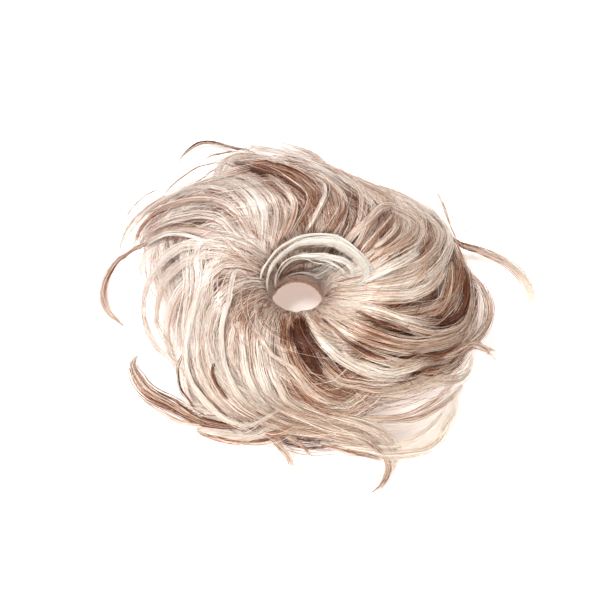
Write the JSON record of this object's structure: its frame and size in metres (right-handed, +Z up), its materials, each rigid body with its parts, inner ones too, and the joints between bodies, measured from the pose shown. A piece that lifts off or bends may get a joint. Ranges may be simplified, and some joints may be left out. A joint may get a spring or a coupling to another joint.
{
  "type": "top knot hairpiece",
  "caption": "Wreath of swirling false hair sewn round an elastic ring, open in the middle, worn round a hair bun.",
  "frame": {"origin": "middle of the elastic ring, on the surface that the hairpiece lies on", "axes": "+Z up, out of the ring's opening and through the crest of the wreath; +X along the wreath's longest extent; +Y away from the camera"},
  "size_m": [0.2127, 0.19, 0.053],
  "materials": {
    "upper_hair": "glossy synthetic hair, blonde with beige and brown strands",
    "lower_hair": "glossy synthetic hair, beige and brown strands",
    "curl_hair": "glossy synthetic hair, pale blonde",
    "casing": "matt knitted casing, gathered",
    "track": "matt stitched track"
  },
  "bodies": {
    "root": {"elastic_ring": "casing", "weft_band": "track", "lower_locks": "lower_hair", "upper_locks": "upper_hair", "crown_curl": "curl_hair"}
  },
  "joints": []
}
